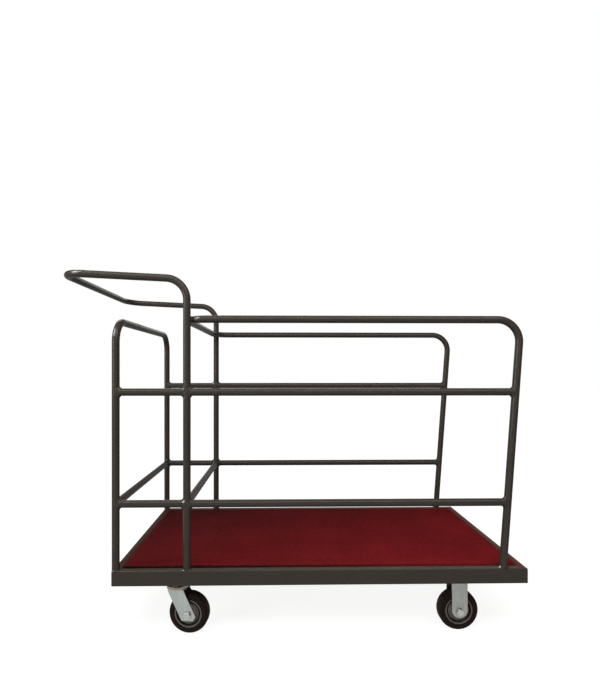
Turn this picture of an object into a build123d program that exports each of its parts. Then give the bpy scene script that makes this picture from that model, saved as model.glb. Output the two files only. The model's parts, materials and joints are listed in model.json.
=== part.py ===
from build123d import *
import os
from math import cos, radians, sin, sqrt, tan

# Platform trolley: a carpeted deck on four casters inside a welded cage of round tube.
# +X runs from the push handle to the open front end, +Y to the left side and +Z up.
# The origin is on the floor under the middle of the whole trolley. Sizes are in millimetres.

# Base frame of box section, mitred at the corners
base_length = 1100
base_width = 560
rail_height = 40
rail_width = 20
rail_wall = 1.5
rail_corner = 2.5

# Deck: bearers across the frame, a plywood board and a carpet that stands just over the frame's lip
bearer_width = 40
bearer_height = 20
board_thickness = 18
carpet_thickness = 4
deck_clearance = 0.5
screw_diameter = 4.8
screw_bite = 9
screw_head_diameter = 9
screw_head_height = 2.6
screw_spread = 260

# Cage of bent and straight round tube, with heights measured up from the frame's top
tube_diameter = 20
tube_wall = 1.2
bend_radius = 58
weld_gap = 0.2
low_rail_height = 174
mid_rail_spacing = 295
top_rail_spacing = 193
hoop_drop = 4
handle_spacing = 106
handle_rise = 16
handle_reach = 138
hoop_inset = 8
handle_post_inset = 195
front_post_inset = 62
front_post_lean = 4.15

# Wheels: a rubber tyre on a moulded hub with two ball bearings
wheel_diameter = 108
tread_width = 32
shoulder_radius = 9
bead_radius = 1.5
rim_diameter = 74
rim_lip = 3.5
rim_inset = 0.8
web_thickness = 8
step_radius = 28.5
step_depth = 3.2
boss_wall = 5
boss_taper = 2
bearing_diameter = 35
bearing_bore = 15
bearing_width = 11
bearing_shoulder = 4
shield_depth = 0.6
shield_land = 2.5
hub_end_gap = 1

# Caster forks and plates
axle_diameter = 10
axle_head = 17
axle_head_height = 6.4
axle_nut_height = 7
axle_collar_height = 3
axle_collar_inset = 1
trail = 34
swivel_turn = 7
fork_thickness = 3
fork_bend = 7
fork_side_gap = 3.5
fork_headroom = 12.5
crown_length = 41
fork_leg_width = 44
fork_shoulder = 20
fork_end_drop = 16
fork_end_chamfer = 13
bracket_leg_width = 42
bracket_end_drop = 17
plate_thickness = 3
plate_edge = 10
plate_side_edge = 15
plate_corner = 6
bolt_spacing_x = 76
bolt_spacing_y = 34
swivel_inset = 163
rigid_inset = 173

# Swivel head: a cup under the plate, a bearing, and a race rim raised on the fork's crown
swivel_head_radius = 29
swivel_head_height = 13.5
race_height = 5.5
race_wall = 5
race_gap = 2.5
race_round = 2
bearing_race_gap = 1.5
bearing_king_gap = 6
swivel_gap = 0.3
king_diameter = 12
king_head_diameter = 18
king_head_height = 6
king_nut_width = 18
king_nut_height = 8

# Caster bolts and the nuts inside the bearers
bolt_diameter = 8
bolt_head = 13
bolt_head_height = 5.3
bolt_nut_height = 6.5
bolt_end = 2
hexagon_bevel = 1.2
rail_bolt_gap = 1

# Clearances of shafts in their holes and of threads
running_clearance = 0.08
hole_clearance = 0.5
thread_clearance = 0.1

# Heights above the floor
axle_height = wheel_diameter / 2
crown_bottom = wheel_diameter + fork_headroom
crown_top = crown_bottom + fork_thickness
plate_bottom = crown_top + swivel_head_height
base_bottom = plate_bottom + plate_thickness
base_top = base_bottom + rail_height
bearer_top = base_bottom + bearer_height
board_top = bearer_top + board_thickness
low_rail_z = base_top + low_rail_height
mid_rail_z = low_rail_z + mid_rail_spacing
top_rail_z = mid_rail_z + top_rail_spacing
hoop_z = top_rail_z - hoop_drop
handle_z = top_rail_z + handle_spacing

# Places along and across the trolley
tube_radius = tube_diameter / 2
overhang = handle_reach + tube_radius
base_front = (base_length + overhang) / 2
base_rear = base_front - base_length
base_middle = (base_front + base_rear) / 2
side_y = base_width / 2
inner_y = side_y - rail_width
post_y = side_y - rail_width / 2
hoop_x = base_rear + hoop_inset
handle_x = base_rear + handle_post_inset
handle_end_x = base_rear - handle_reach
foot_x = base_front - front_post_inset
lean = tan(radians(front_post_lean))
corner_x = foot_x + (top_rail_z - base_top) * lean
swivel_x = base_rear + swivel_inset
rigid_x = base_front - rigid_inset
nut_corner = bolt_head / 2 / cos(radians(30))
caster_y = inner_y - rail_bolt_gap - nut_corner - bolt_spacing_y / 2
fork_inner = tread_width / 2 + fork_side_gap
fork_outer = fork_inner + fork_thickness
hub_end = fork_inner - hub_end_gap

# The top rail's rear bends pass inside the handle posts and touch them
bend_reach = bend_radius + tube_diameter + weld_gap
top_bar_x = handle_x - bend_radius + sqrt(bend_reach**2 - bend_radius**2)

SIDES = {"right": -1, "left": 1}

os.makedirs("parts", exist_ok=True)


def write(part, label):
    """Label a finished piece and write its STEP file."""
    part.label = label
    export_step(part, f"parts/{label}.step")


def box_section(plane, width, height):
    """A rolled box section with rounded corners, drawn on a plane."""
    with BuildSketch(plane) as section:
        RectangleRounded(width, height, rail_corner)
        RectangleRounded(
            width - 2 * rail_wall, height - 2 * rail_wall, rail_corner - rail_wall, mode=Mode.SUBTRACT
        )
    return section.sketch


def base_rail(start, end):
    """One rail of the base frame between two outer corners, mitred at both ends."""
    along = (end - start).normalized()
    inward = Vector(0, 0, 1).cross(along)
    middle = start + inward * rail_width / 2 + Vector(0, 0, rail_height / 2)
    with BuildPart() as rail:
        extrude(
            box_section(Plane(middle, x_dir=inward, z_dir=along), rail_width, rail_height),
            amount=(end - start).length,
        )
        split(bisect_by=Plane(start, z_dir=along - inward), keep=Keep.TOP)
        split(bisect_by=Plane(end, z_dir=-along - inward), keep=Keep.TOP)
    return rail.part


def tube_ring(plane):
    """The tube's ring section on a plane."""
    with BuildSketch(plane) as ring:
        Circle(tube_radius)
        Circle(tube_radius - tube_wall, mode=Mode.SUBTRACT)
    return ring.sketch


def bent_tube(points):
    """A tube bent at each corner of a line of points."""
    with BuildLine() as path:
        FilletPolyline(*points, radius=bend_radius)
    with BuildPart() as tube:
        sweep(tube_ring(Plane(path.line @ 0, z_dir=path.line % 0)), path=path.line)
    return tube.part


def tube_space(start, end):
    """The room that a straight tube takes, with the weld gap round it."""
    run = end - start
    with BuildPart() as space:
        with BuildSketch(Plane(start, z_dir=run)):
            Circle(tube_radius + weld_gap)
        extrude(amount=run.length)
    return space.part


def straight_tube(start, end, neighbours):
    """A straight tube between two axes, with its ends coped to the tubes that it meets."""
    run = end - start
    with BuildPart() as tube:
        extrude(tube_ring(Plane(start, z_dir=run)), amount=run.length)
        for neighbour in neighbours:
            add(neighbour, mode=Mode.SUBTRACT)
    return tube.part


def front_post_x(z):
    """Where the leaning front post's axis is at a height."""
    return foot_x + (z - base_top) * lean


def across(points):
    """A line of points on the right side, carried over to the left side and back down."""
    return [(x, -post_y, z) for x, z in points] + [(x, post_y, z) for x, z in reversed(points)]


# Base frame
corners = [
    Vector(base_rear, -side_y, base_bottom),
    Vector(base_front, -side_y, base_bottom),
    Vector(base_front, side_y, base_bottom),
    Vector(base_rear, side_y, base_bottom),
]
rail_names = ["base_rail_right", "base_rail_front_end", "base_rail_left", "base_rail_handle_end"]
for i, rail_name in enumerate(rail_names):
    write(base_rail(corners[i], corners[(i + 1) % 4]), rail_name)

# Deck bearers, two over each pair of casters and one between them
bolt_stations = [x + step * bolt_spacing_x / 2 for x in (swivel_x, rigid_x) for step in (-1, 1)]
bearer_stations = sorted([*bolt_stations, (swivel_x + rigid_x) / 2])
bolt_rows = [
    side * (caster_y + row * bolt_spacing_y / 2) for side in SIDES.values() for row in (-1, 1)
]
screw_rows = [-screw_spread / 2, screw_spread / 2]
bearer_middle = base_bottom + bearer_height / 2
for number, station in enumerate(bearer_stations, 1):
    with BuildPart() as bearer:
        extrude(
            box_section(
                Plane((station, -inner_y, bearer_middle), x_dir=(-1, 0, 0), z_dir=(0, 1, 0)),
                bearer_width,
                bearer_height,
            ),
            amount=2 * inner_y,
        )
        with Locations([(station, y, bearer_middle) for y in screw_rows]):
            Cylinder((screw_diameter + hole_clearance) / 2, 2 * bearer_height, mode=Mode.SUBTRACT)
        if station in bolt_stations:
            with Locations([(station, y, base_bottom) for y in bolt_rows]):
                Cylinder((bolt_diameter + hole_clearance) / 2, 4 * rail_wall, mode=Mode.SUBTRACT)
    write(bearer.part, f"deck_bearer_{number}")

# Deck board with pilot holes, and the carpet on it
deck_length = base_length - 2 * (rail_width + deck_clearance)
deck_width = 2 * (inner_y - deck_clearance)
screw_points = [(x, y) for x in bearer_stations for y in screw_rows]
with BuildPart() as deck_board:
    with BuildSketch(Plane((base_middle, 0, bearer_top))):
        Rectangle(deck_length, deck_width)
    extrude(amount=board_thickness)
    with Locations([(x, y, bearer_top) for x, y in screw_points]):
        Cylinder(screw_diameter / 2 + thread_clearance, 2 * screw_bite, mode=Mode.SUBTRACT)
write(deck_board.part, "deck_board")

with BuildPart() as deck_carpet:
    with BuildSketch(Plane((base_middle, 0, board_top))):
        Rectangle(deck_length, deck_width)
    extrude(amount=carpet_thickness)
write(deck_carpet.part, "deck_carpet")

# Screws up through the bearers into the board
with BuildPart() as deck_screws:
    with BuildSketch(Plane.XY.offset(base_bottom)):
        with Locations(screw_points):
            Circle(screw_head_diameter / 2)
    extrude(amount=-screw_head_height)
    with BuildSketch(Plane.XY.offset(base_bottom)):
        with Locations(screw_points):
            Circle(screw_diameter / 2)
    extrude(amount=bearer_height + screw_bite)
write(deck_screws.part, "deck_screws")

# Bent tubes of the cage
write(bent_tube(across([(hoop_x, base_top), (hoop_x, hoop_z)])), "end_hoop")

handle_points = [(handle_x, base_top), (handle_x, handle_z), (handle_end_x, handle_z + handle_rise)]
write(bent_tube(across(handle_points)), "push_handle")

top_points = [(front_post_x(base_bottom), base_bottom), (corner_x, top_rail_z), (top_bar_x, top_rail_z)]
with BuildPart() as top_rail_hoop:
    add(bent_tube(across(top_points)))
    split(bisect_by=Plane.XY.offset(base_top), keep=Keep.TOP)
write(top_rail_hoop.part, "top_rail_hoop")

# Straight side rails, coped to the posts
for side_name, side in SIDES.items():
    y = side * post_y
    hoop_post = tube_space(Vector(hoop_x, y, base_top), Vector(hoop_x, y, hoop_z))
    handle_post = tube_space(Vector(handle_x, y, base_top), Vector(handle_x, y, handle_z))
    front_post = tube_space(Vector(foot_x, y, base_top), Vector(corner_x, y, top_rail_z))
    for level, z in {"low": low_rail_z, "mid": mid_rail_z}.items():
        start = Vector(hoop_x, y, z)
        middle = Vector(handle_x, y, z)
        end = Vector(front_post_x(z), y, z)
        write(straight_tube(start, middle, [hoop_post, handle_post]), f"{level}_rail_{side_name}_short")
        write(straight_tube(middle, end, [handle_post, front_post]), f"{level}_rail_{side_name}_long")

# Low crossbars, coped to the posts and to the low rails beside them
for bar_name, x in {"low_bar_hoop": hoop_x, "low_bar_handle": handle_x}.items():
    neighbours = []
    for side in SIDES.values():
        y = side * post_y
        neighbours.append(tube_space(Vector(x, y, base_top), Vector(x, y, hoop_z)))
        neighbours.append(tube_space(Vector(hoop_x, y, low_rail_z), Vector(foot_x, y, low_rail_z)))
    write(
        straight_tube(Vector(x, -post_y, low_rail_z), Vector(x, post_y, low_rail_z), neighbours), bar_name
    )


def hexagon_prism(plane, width, height):
    """A hexagonal bolt head or nut blank of a width across its flats, with its outer corners bevelled."""
    outward = plane.z_dir if height > 0 else -plane.z_dir
    with BuildPart() as turned_bar:
        with BuildSketch(plane):
            Circle(width / 2 / cos(radians(30)))
        extrude(amount=height)
        end_edge = turned_bar.edges().filter_by(GeomType.CIRCLE).sort_by(Axis(plane.origin, outward))[-1]
        chamfer(end_edge, hexagon_bevel)
    with BuildPart() as blank:
        with BuildSketch(plane):
            RegularPolygon(width / 2, 6, major_radius=False)
        extrude(amount=height)
        add(turned_bar.part, mode=Mode.INTERSECT)
    return blank.part


def fork_channel(top, end, length):
    """The bent channel that a fork is cut from, open downwards, along X."""
    middle = (fork_inner + fork_outer) / 2
    roof = top - fork_thickness / 2
    with BuildPart() as channel:
        with BuildSketch(Plane.YZ):
            with BuildLine():
                FilletPolyline(
                    (-middle, end), (-middle, roof), (middle, roof), (middle, end),
                    radius=fork_bend - fork_thickness / 2,
                )
            trace(line_width=fork_thickness)
        extrude(amount=length, both=True)
    return channel.part


def caster_plate():
    """The flat plate that is bolted under the bearers, about the caster's own axis."""
    plate_length = bolt_spacing_x + 2 * plate_edge
    plate_width = bolt_spacing_y + 2 * plate_side_edge
    with BuildPart() as plate:
        with BuildSketch(Plane.XY.offset(plate_bottom)):
            RectangleRounded(plate_length, plate_width, plate_corner)
            with GridLocations(bolt_spacing_x, bolt_spacing_y, 2, 2):
                Circle((bolt_diameter + hole_clearance) / 2, mode=Mode.SUBTRACT)
        extrude(amount=plate_thickness)
    return plate.part


# Pieces of a swivel caster, about the king bolt's axis
king_hole = king_diameter / 2 + running_clearance
with BuildPart() as swivel_plate:
    add(caster_plate())
    with Locations((0, 0, base_bottom)):
        Hole(king_hole)

race_top = crown_top + race_height
cup_bottom = race_top + race_gap
with BuildPart() as swivel_race:
    with BuildSketch(Plane.XY.offset(cup_bottom)):
        Circle(swivel_head_radius)
        Circle(king_hole, mode=Mode.SUBTRACT)
    extrude(amount=plate_bottom - cup_bottom)
    fillet(swivel_race.edges().group_by(Axis.Z)[0].sort_by(SortBy.RADIUS)[-1], race_round)

race_inner = swivel_head_radius - race_wall
with BuildPart() as thrust_bearing:
    with BuildSketch(Plane.XY.offset(cup_bottom)):
        Circle(race_inner - bearing_race_gap)
        Circle(king_diameter / 2 + bearing_king_gap, mode=Mode.SUBTRACT)
    extrude(amount=crown_top + swivel_gap - cup_bottom)

king_nut_top = crown_bottom - swivel_gap
with BuildPart() as king_bolt:
    with BuildSketch(Plane.XY.offset(base_bottom)):
        Circle(king_head_diameter / 2)
    extrude(amount=king_head_height)
    with BuildSketch(Plane.XY.offset(base_bottom)):
        Circle(king_diameter / 2)
    extrude(amount=king_nut_top - king_nut_height - bolt_end - base_bottom)

with BuildPart() as king_nut:
    add(hexagon_prism(Plane.XY.offset(king_nut_top), king_nut_width, -king_nut_height))
    with Locations((0, 0, king_nut_top)):
        Hole(king_diameter / 2 + thread_clearance)

# The fork's legs lean back from the crown to the axle
slope = trail / (crown_top - axle_height)
fork_end = axle_height - fork_end_drop
leg_run = slope * (crown_top - fork_end)
leg_front = crown_length / 2 - fork_leg_width
shoulder_z = crown_top - (fork_leg_width - crown_length) / slope
with BuildPart() as swivel_fork:
    add(fork_channel(crown_top, fork_end, trail + fork_leg_width))
    with BuildSketch(Plane.XZ) as leg_outline:
        with BuildLine():
            Polyline(
                (-crown_length / 2, crown_top),
                (-crown_length / 2, shoulder_z),
                (leg_front + leg_run, fork_end),
                (crown_length / 2 + leg_run, fork_end),
                (crown_length / 2, crown_top),
                close=True,
            )
        make_face()
        fillet(leg_outline.vertices().sort_by(Axis.X)[:2].sort_by(Axis.Y)[0], fork_shoulder)
        chamfer(leg_outline.vertices().sort_by(Axis.X)[-1], fork_end_chamfer)
    extrude(amount=2 * fork_outer, both=True, mode=Mode.INTERSECT)
    with BuildSketch(Plane.XY.offset(crown_bottom)):
        Circle(swivel_head_radius)
    extrude(amount=fork_thickness)
    with BuildSketch(Plane.XY.offset(crown_top)):
        Circle(swivel_head_radius)
        Circle(race_inner, mode=Mode.SUBTRACT)
    extrude(amount=race_height)
    fillet(swivel_fork.edges().group_by(Axis.Z)[-1].sort_by(SortBy.RADIUS)[-1], race_round)
    with Locations((0, 0, crown_top)):
        Hole(king_hole)
    with Locations((trail, 0, axle_height)):
        Cylinder(
            axle_diameter / 2 + thread_clearance, 4 * fork_outer, rotation=(90, 0, 0), mode=Mode.SUBTRACT
        )

# The rigid caster's bracket: a straight fork with round leg ends, welded under its plate
bracket_end = axle_height - bracket_end_drop
with BuildPart() as rigid_bracket:
    add(fork_channel(plate_bottom, bracket_end, bracket_leg_width))
    with BuildSketch(Plane.XZ):
        with BuildLine():
            half = bracket_leg_width / 2
            Line((-half, bracket_end + half), (-half, plate_bottom))
            Line((-half, plate_bottom), (half, plate_bottom))
            Line((half, plate_bottom), (half, bracket_end + half))
            ThreePointArc((half, bracket_end + half), (0, bracket_end), (-half, bracket_end + half))
        make_face()
    extrude(amount=2 * fork_outer, both=True, mode=Mode.INTERSECT)
    add(caster_plate())
    with Locations((0, 0, axle_height)):
        Cylinder(
            axle_diameter / 2 + thread_clearance, 4 * fork_outer, rotation=(90, 0, 0), mode=Mode.SUBTRACT
        )

# Pieces on an axle, about the wheel's middle with the axle along Y
axle_plane = Plane((0, -fork_outer, axle_height), x_dir=(1, 0, 0), z_dir=(0, 1, 0))
nut_plane = Plane((0, fork_outer, axle_height), x_dir=(1, 0, 0), z_dir=(0, 1, 0))
sleeve_plane = Plane((0, -fork_inner, axle_height), x_dir=(1, 0, 0), z_dir=(0, 1, 0))
with BuildPart() as axle_bolt:
    add(hexagon_prism(axle_plane, axle_head, -axle_head_height))
    with BuildSketch(axle_plane):
        Circle(axle_diameter / 2)
    extrude(amount=2 * fork_outer + axle_nut_height + axle_collar_height + bolt_end)

with BuildPart() as axle_nut:
    add(hexagon_prism(nut_plane, axle_head, axle_nut_height))
    with BuildSketch(nut_plane):
        Circle(axle_head / 2 - axle_collar_inset)
    extrude(amount=axle_nut_height + axle_collar_height)
    fillet(axle_nut.edges().group_by(Axis.Y)[-1], axle_collar_inset)
    with BuildSketch(nut_plane):
        Circle(axle_diameter / 2 + thread_clearance)
    extrude(amount=axle_nut_height + axle_collar_height, mode=Mode.SUBTRACT)

with BuildPart() as axle_sleeve:
    with BuildSketch(sleeve_plane):
        Circle(bearing_bore / 2 - running_clearance)
        Circle(axle_diameter / 2 + thread_clearance, mode=Mode.SUBTRACT)
    extrude(amount=2 * fork_inner)

# Wheel pieces are revolved about the axle from half sections drawn across the tread
wheel_plane = Plane((0, 0, axle_height), x_dir=(0, 1, 0), z_dir=(1, 0, 0))
axle_line = Axis((0, 0, axle_height), (0, 1, 0))
rim_radius = rim_diameter / 2
rim_edge = tread_width / 2 - rim_inset
bearing_radius = bearing_diameter / 2
bearing_inner = hub_end - bearing_width

with BuildPart() as tyre:
    with BuildSketch(wheel_plane) as tyre_section:
        with Locations((0, (rim_radius + wheel_diameter / 2) / 2)):
            Rectangle(tread_width, wheel_diameter / 2 - rim_radius)
        fillet(tyre_section.vertices().group_by(Axis.Y)[-1], shoulder_radius)
        fillet(tyre_section.vertices().group_by(Axis.Y)[0], bead_radius)
    revolve(axis=axle_line)

boss_radius = bearing_radius + boss_wall
with BuildPart() as hub:
    with BuildSketch(wheel_plane):
        with BuildLine():
            Polyline(
                (0, bearing_radius - bearing_shoulder),
                (bearing_inner, bearing_radius - bearing_shoulder),
                (bearing_inner, bearing_radius),
                (hub_end, bearing_radius),
                (hub_end, boss_radius),
                (rim_edge - step_depth, boss_radius + boss_taper),
                (rim_edge - step_depth, step_radius),
                (web_thickness / 2, step_radius),
                (web_thickness / 2, rim_radius - rim_lip),
                (rim_edge, rim_radius - rim_lip),
                (rim_edge, rim_radius),
                (0, rim_radius),
                close=True,
            )
        make_face()
        mirror(about=Plane.YZ)
    revolve(axis=axle_line)

shield_outer = bearing_radius - shield_land
shield_inner = bearing_bore / 2 + shield_land
with BuildPart() as bearings:
    with BuildSketch(wheel_plane):
        with BuildLine():
            Polyline(
                (bearing_inner, bearing_bore / 2),
                (hub_end, bearing_bore / 2),
                (hub_end, shield_inner),
                (hub_end - shield_depth, shield_inner),
                (hub_end - shield_depth, shield_outer),
                (hub_end, shield_outer),
                (hub_end, bearing_radius),
                (bearing_inner, bearing_radius),
                close=True,
            )
        make_face()
        mirror(about=Plane.YZ)
    revolve(axis=axle_line)


def placed(piece, spots):
    """Copies of a caster piece at its places, turned outwards, and mirrored on the left side."""
    with BuildPart() as copies:
        for x, y, turn in spots:
            side = -1 if y < 0 else 1
            with Locations(Location((x, y, 0), (0, 0, side * turn))):
                add(piece if y < 0 else mirror(piece, about=Plane.XZ, mode=Mode.PRIVATE))
    return copies.part


# Casters at their four places. The swivel forks stand turned a little, as they stop after a push
wheel_x = swivel_x + trail * cos(radians(swivel_turn))
wheel_y = caster_y + trail * sin(radians(swivel_turn))
for side_name, side in SIDES.items():
    swivel_point = [(swivel_x, side * caster_y, swivel_turn)]
    swivel_axle = [(wheel_x, side * wheel_y, swivel_turn)]
    rigid_point = [(rigid_x, side * caster_y, 0)]
    write(placed(swivel_plate.part, [(swivel_x, side * caster_y, 0)]), f"swivel_plate_{side_name}")
    write(placed(swivel_race.part, swivel_point), f"swivel_race_{side_name}")
    write(placed(swivel_fork.part, swivel_point), f"swivel_fork_{side_name}")
    write(placed(axle_bolt.part, swivel_axle), f"swivel_axle_bolt_{side_name}")
    write(placed(axle_nut.part, swivel_axle), f"swivel_axle_nut_{side_name}")
    write(placed(axle_sleeve.part, swivel_axle), f"swivel_axle_sleeve_{side_name}")
    write(placed(rigid_bracket.part, rigid_point), f"rigid_bracket_{side_name}")
    for kind, axle in {"swivel": swivel_axle, "rigid": rigid_point}.items():
        write(placed(tyre.part, axle), f"{kind}_tyre_{side_name}")
        write(placed(hub.part, axle), f"{kind}_hub_{side_name}")
        write(placed(bearings.part, axle), f"{kind}_wheel_bearings_{side_name}")

# Like fasteners on the chassis share a file each
swivel_points = [(swivel_x, side * caster_y, 0) for side in SIDES.values()]
rigid_points = [(rigid_x, side * caster_y, 0) for side in SIDES.values()]
write(placed(thrust_bearing.part, swivel_points), "thrust_bearings")
write(placed(king_bolt.part, swivel_points), "king_bolts")
write(placed(king_nut.part, swivel_points), "king_nuts")
write(placed(axle_bolt.part, rigid_points), "rigid_axle_bolts")
write(placed(axle_nut.part, rigid_points), "rigid_axle_nuts")
write(placed(axle_sleeve.part, rigid_points), "rigid_axle_sleeves")

bolt_points = [(x, y, 0) for x in bolt_stations for y in bolt_rows]
bolt_length = plate_thickness + rail_wall + bolt_nut_height + bolt_end
with BuildPart() as caster_bolt:
    add(hexagon_prism(Plane.XY.offset(plate_bottom), bolt_head, -bolt_head_height))
    with BuildSketch(Plane.XY.offset(plate_bottom)):
        Circle(bolt_diameter / 2)
    extrude(amount=bolt_length)
write(placed(caster_bolt.part, bolt_points), "caster_bolts")

nut_seat = base_bottom + rail_wall
with BuildPart() as caster_nut:
    add(hexagon_prism(Plane.XY.offset(nut_seat), bolt_head, bolt_nut_height))
    with Locations((0, 0, nut_seat + bolt_nut_height)):
        Hole(bolt_diameter / 2 + thread_clearance)
write(placed(caster_nut.part, bolt_points), "caster_nuts")
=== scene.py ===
import json
import math

import bmesh
import bpy
from bpy.props import FloatProperty, FloatVectorProperty, PointerProperty
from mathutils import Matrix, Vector, noise


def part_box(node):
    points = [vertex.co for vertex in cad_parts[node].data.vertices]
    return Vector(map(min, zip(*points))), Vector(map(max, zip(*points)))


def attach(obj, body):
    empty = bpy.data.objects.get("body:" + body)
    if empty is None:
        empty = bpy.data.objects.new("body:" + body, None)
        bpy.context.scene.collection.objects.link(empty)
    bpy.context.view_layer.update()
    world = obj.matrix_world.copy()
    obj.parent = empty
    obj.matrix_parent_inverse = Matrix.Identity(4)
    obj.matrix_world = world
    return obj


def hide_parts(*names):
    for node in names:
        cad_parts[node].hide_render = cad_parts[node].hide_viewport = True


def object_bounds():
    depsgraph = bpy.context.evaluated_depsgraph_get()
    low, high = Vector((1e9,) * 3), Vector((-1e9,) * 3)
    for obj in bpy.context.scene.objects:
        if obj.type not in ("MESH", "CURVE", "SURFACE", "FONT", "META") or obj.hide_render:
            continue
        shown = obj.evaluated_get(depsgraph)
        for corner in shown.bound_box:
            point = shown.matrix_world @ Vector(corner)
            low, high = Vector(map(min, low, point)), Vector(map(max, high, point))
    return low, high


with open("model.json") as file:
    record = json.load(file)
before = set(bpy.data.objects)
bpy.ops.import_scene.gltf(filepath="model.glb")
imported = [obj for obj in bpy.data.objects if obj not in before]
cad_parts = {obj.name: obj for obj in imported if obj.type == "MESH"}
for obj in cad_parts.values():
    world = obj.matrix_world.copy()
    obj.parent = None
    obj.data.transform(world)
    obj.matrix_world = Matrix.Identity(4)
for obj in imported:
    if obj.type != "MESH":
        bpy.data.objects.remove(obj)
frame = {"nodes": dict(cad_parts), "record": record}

bl_info = {
    "name": "Platform Trolley Looks",
    "version": (1, 0, 0),
    "blender": (4, 5, 0),
    "location": "View3D > Sidebar > Trolley",
    "description": "Finishes, welds, carpet and studio for a platform trolley with a tube cage",
    "category": "Object",
}

CAD_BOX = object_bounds()
MM = 0.001
X, Z = 0, 2
UP = Vector((0, 0, 1))
FORWARD = Vector((1, 0, 0))
SIDES = {"right": -1, "left": 1}
WHITE = (1, 1, 1, 1)
# Where a colour mix takes its two colours and gives its result, because other sockets share their names
COLOUR_A, COLOUR_B, MIXED = 6, 7, 2
# The values that a noise pattern mostly takes, for a Map Range node to start from
NOISE_RANGE = {"From Min": 0.3, "From Max": 0.7}


def middle(node, axis):
    """The middle of a node's box along one axis."""
    low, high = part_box(node)
    return (low[axis] + high[axis]) / 2


def front_foot():
    """Where the leaning front post on the right side stands on the base, along X."""
    points = [v.co for v in frame["nodes"]["top_rail_hoop"].data.vertices]
    foot = [p.x for p in points if p.y < 0 and p.z < BASE_TOP + 0.1 * MM]
    return (min(foot) + max(foot)) / 2


# The cage and the deck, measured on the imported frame
BASE_LOW, BASE_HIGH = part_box("base_rail_right")
BASE_TOP = BASE_HIGH.z
CARPET_LOW, CARPET_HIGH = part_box("deck_carpet")
TUBE_RADIUS = (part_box("end_hoop")[1].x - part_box("end_hoop")[0].x) / 2
HOOP_X = middle("end_hoop", X)
HANDLE_X = middle("low_bar_handle", X)
POST_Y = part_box("end_hoop")[1].y - TUBE_RADIUS
LOW_Z = middle("low_bar_hoop", Z)
MID_Z = middle("mid_rail_right_long", Z)
TOP_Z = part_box("top_rail_hoop")[1].z - TUBE_RADIUS
TOP_BAR_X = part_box("top_rail_hoop")[0].x + TUBE_RADIUS
FOOT_X = front_foot()
BEND_RADIUS = 58 * MM
BEARERS = 5
LEAN = (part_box("mid_rail_right_long")[1].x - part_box("low_rail_right_long")[1].x) / (MID_Z - LOW_Z)
LEANING = Vector((LEAN, 0, 1)).normalized()

# A weld's feet sink in by its root and its back by its depth, and its face rises by its crown
WELD_ROOT = 0.3 * MM
WELD_DEPTH = 4 * WELD_ROOT
WELD_CROWN = 0.5 * MM
# Shares that shape a weld: the fill of its corner, its bulge, and how much flush skins shorten it
WELD_FILL = 0.22
WELD_BULGE = 0.3
FLUSH_CUT = 0.6
# How much a weld swells with its ripples, and with the welder's hand over a span in millimetres
RIPPLE_SWELL = 0.08
HAND_SWELL = 0.12
HAND_SPAN = 6
# How wide the weld on a top rail's bend is, as a share of the tube's radius
CONTACT_SHARE = 0.7
# How many points a bare weld run has on each side of its middle; its pale metal is partly a painted highlight
GLINTING_BARE_REACH = 2
# How much larger a bare run is than the painted weld that it lies on, so it shows
GLINTING_BARE_FOOT_GROWTH = 1.1
GLINTING_BARE_POST_GROWTH = 1.05
# Where the bare runs lie, in tube radii from the middle of their joints
GLINTING_BARE_FOOT_SPOT = Vector((-0.95, -0.3, 0))
GLINTING_BARE_POST_SPOT = Vector((-0.7, -0.75, 0.6))
# The greased band of a swivel fork's race drum and the whole drum, measured down from its top
RACE_BAND = 6.5 * MM
RACE_DRUM = 10 * MM
# The nap's waves: their span in millimetres, then their fractal's roughness, spread and layers
NAP_SPAN = 14
NAP_WAVES = (0.8, 2.0, 3)
# The way over the deck in which painted light brightens the pile, with the larger share where it changes
# faster
PAINTED_LIGHT_WAY = (0.42, -1.1, 0.0)
# How far the floor runs each way in metres, and how far it lies under the wheels
FLOOR_REACH = 12
FLOOR_GAP = 0.3 * MM
# The camera's sensor in millimetres, and the nearest thing that it sees in metres
SENSOR_WIDTH = 36
CLIP_START = 0.05


def linear(hex_code):
    """A linear colour with alpha from an sRGB hex value."""
    shares = [int(hex_code[i : i + 2], 16) / 255 for i in (0, 2, 4)]
    return [s / 12.92 if s <= 0.04045 else ((s + 0.055) / 1.055) ** 2.4 for s in shares] + [1.0]


def colour(name, hex_code, description):
    """A colour setting whose default is an sRGB hex value."""
    return FloatVectorProperty(
        name=name, description=description, subtype="COLOR", size=4, min=0, max=1, default=linear(hex_code)
    )


def length(name, millimetres, description):
    """A length setting whose default is given in millimetres."""
    return FloatProperty(
        name=name, description=description, unit="LENGTH", subtype="DISTANCE", default=millimetres * MM
    )


def power(name, watts, description):
    """A lamp's power setting, whose default is given in watts."""
    return FloatProperty(name=name, description=description, unit="POWER", default=watts)


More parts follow.
